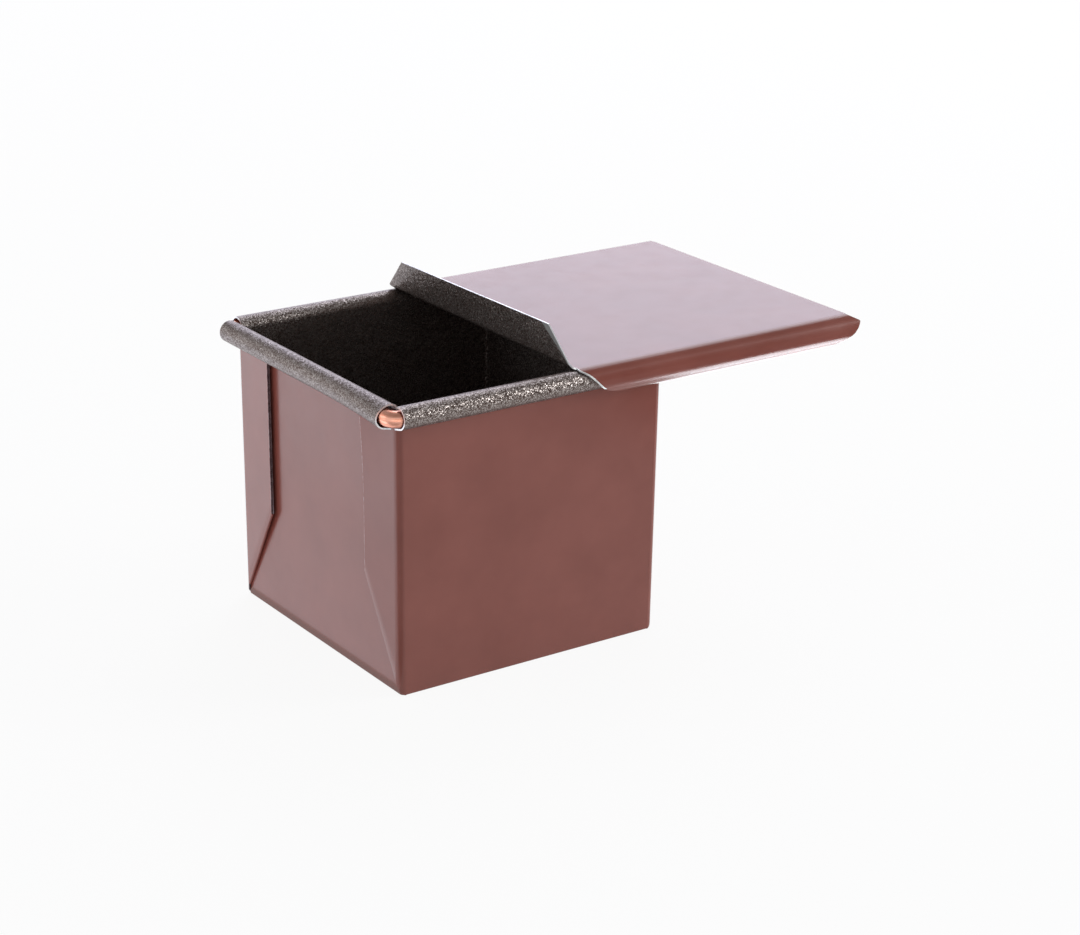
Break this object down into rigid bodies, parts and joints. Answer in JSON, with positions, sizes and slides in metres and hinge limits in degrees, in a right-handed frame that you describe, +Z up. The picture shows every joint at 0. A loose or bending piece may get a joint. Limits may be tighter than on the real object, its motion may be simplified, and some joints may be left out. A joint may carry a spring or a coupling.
{
  "type": "lidded cube loaf pan",
  "caption": "Cube-shaped folded sheet-steel loaf pan with a wired rolled rim and a sliding lid that hooks under the rim and ends in an upturned grip lip.",
  "frame": {"origin": "centre of the pan's flat bottom, where it stands", "axes": "+Z up, +X the way the lid slides off, +Y from the front side wall to the rear one"},
  "size_m": [0.1831, 0.1152, 0.1097],
  "materials": {
    "coat": "semi-gloss red-brown baked coating outside; the sheet's other face, inside the pan and under the lid, is a dark grey speckled non-stick coating",
    "wire": "smooth, copper-coloured"
  },
  "bodies": {
    "pan": {"pan_body": "coat", "rim_wire": "wire"},
    "lid": {"lid": "coat"}
  },
  "joints": [
    {"name": "lid_slide", "type": "slide", "parent": "pan", "child": "lid", "axis": [1, 0, 0], "range_m": [-0.0686, 0.05]}
  ]
}
